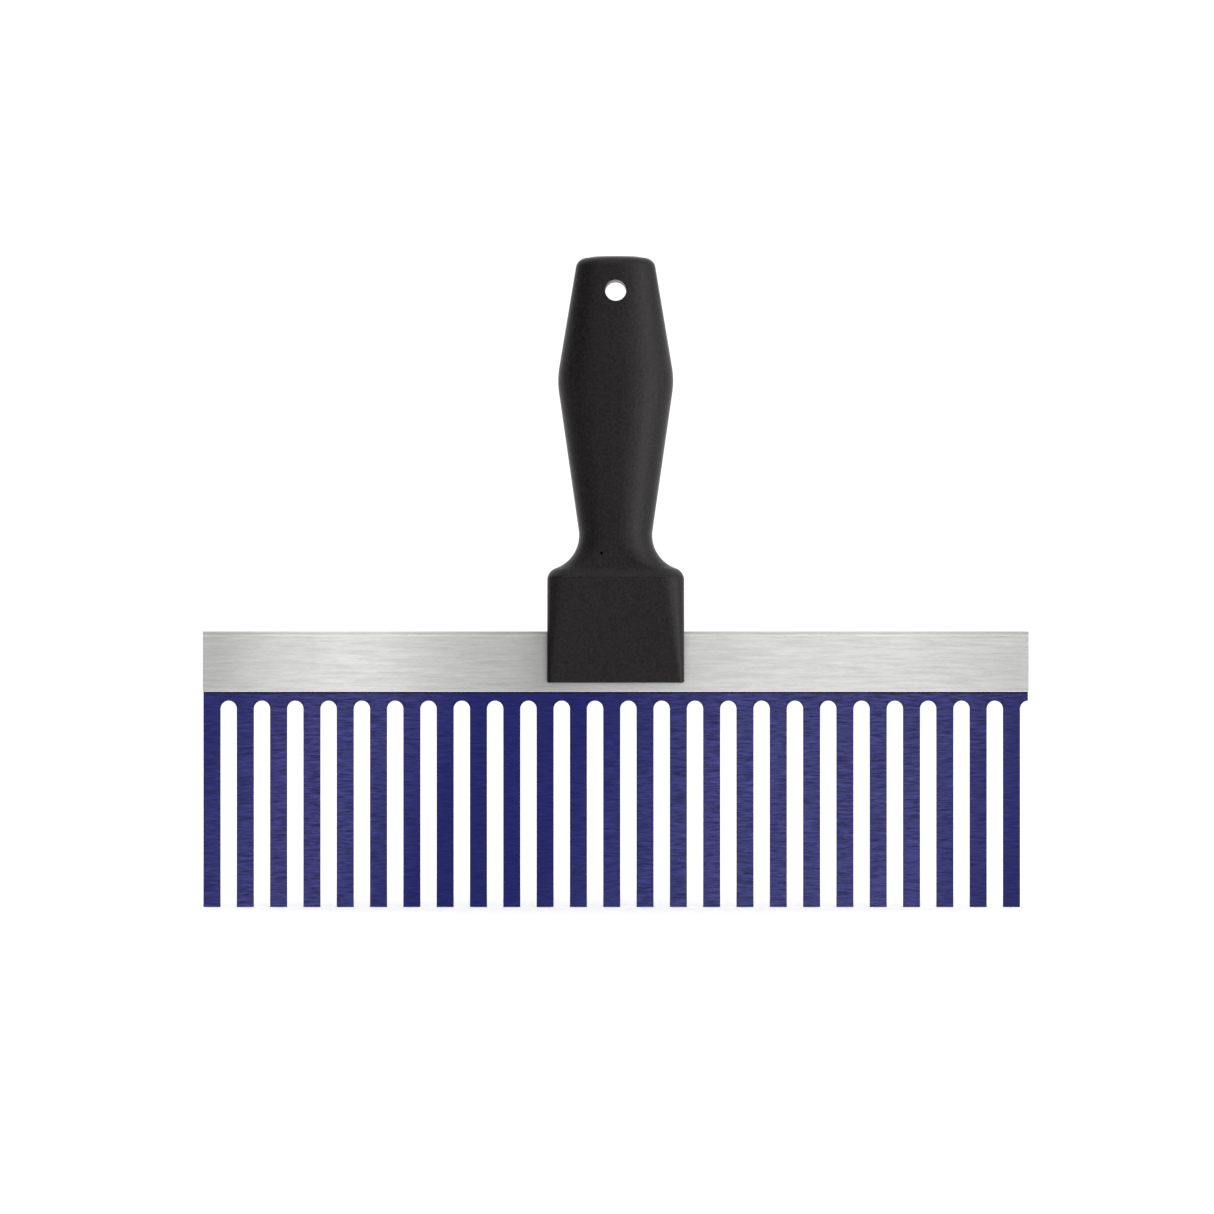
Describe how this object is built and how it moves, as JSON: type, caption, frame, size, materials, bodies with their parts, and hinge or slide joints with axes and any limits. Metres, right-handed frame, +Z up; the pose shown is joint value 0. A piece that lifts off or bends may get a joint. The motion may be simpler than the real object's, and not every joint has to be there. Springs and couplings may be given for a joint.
{
  "type": "toothed comb knife",
  "caption": "Comb-toothed blade with a folded metal back and a moulded upright handle with a hang hole.",
  "frame": {"origin": "middle of the tooth tips, at the object's base", "axes": "+X along the blade, +Y towards the back of the tool where the screws are, +Z up the handle"},
  "size_m": [0.3048, 0.0294, 0.2403],
  "materials": {
    "blued_steel": "blued spring steel, brushed along its length",
    "aluminium_back": "brushed along its length",
    "zinc_steel": "zinc plated",
    "rivet_steel": "bright steel",
    "black_plastic": "moulded, fine matt texture",
    "screw_steel": "zinc plated"
  },
  "bodies": {
    "root": {"blade": "blued_steel", "back_channel": "aluminium_back", "tang_plate": "zinc_steel", "tang_rivet_left": "rivet_steel", "tang_rivet_centre": "rivet_steel", "tang_rivet_right": "rivet_steel", "handle_front_shell": "black_plastic", "handle_back_shell": "black_plastic", "handle_screw_block_left": "screw_steel", "handle_screw_block_right": "screw_steel", "handle_screw_mid": "screw_steel", "handle_screw_top": "screw_steel"}
  },
  "joints": []
}
